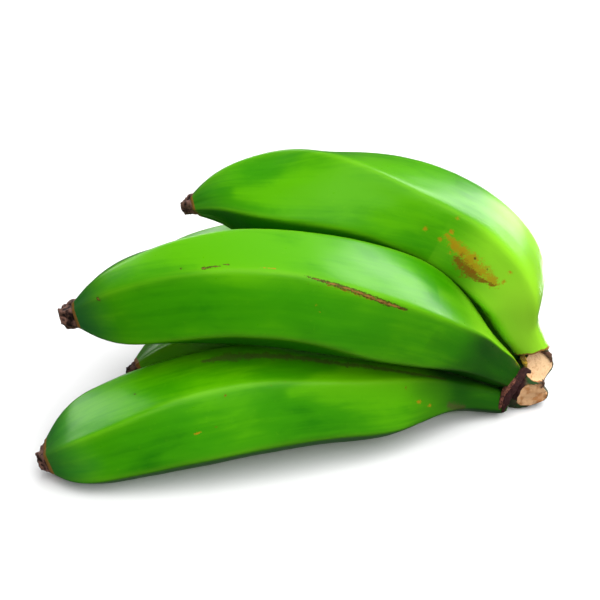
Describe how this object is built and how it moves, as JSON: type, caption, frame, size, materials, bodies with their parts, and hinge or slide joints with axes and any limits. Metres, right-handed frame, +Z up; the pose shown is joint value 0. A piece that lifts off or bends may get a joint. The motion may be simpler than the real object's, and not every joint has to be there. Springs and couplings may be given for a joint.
{
  "type": "plantain cluster",
  "caption": "green plantains joined at one cut crown, with dried flower ends, lying on a surface",
  "frame": {"origin": "on the table, under the middle of the cluster", "axes": "+X from the flower ends to the crown, +Y from the front row to the rear row, +Z up"},
  "size_m": [0.2744, 0.1451, 0.1449],
  "materials": {
    "peel": "smooth waxy green peel, a little glossy",
    "crown": "cut plant tissue, tan and dry, with a dark dried rim",
    "dried_flower": "crumpled, dry, dark brown"
  },
  "bodies": {
    "root": {"plantain_upper": "peel", "plantain_middle": "peel", "plantain_lower": "peel", "plantain_rear_upper": "peel", "plantain_rear_lower": "peel", "crown": "crown", "blossom_end_upper": "dried_flower", "blossom_end_middle": "dried_flower", "blossom_end_lower": "dried_flower", "blossom_end_rear_upper": "dried_flower", "blossom_end_rear_lower": "dried_flower"}
  },
  "joints": []
}
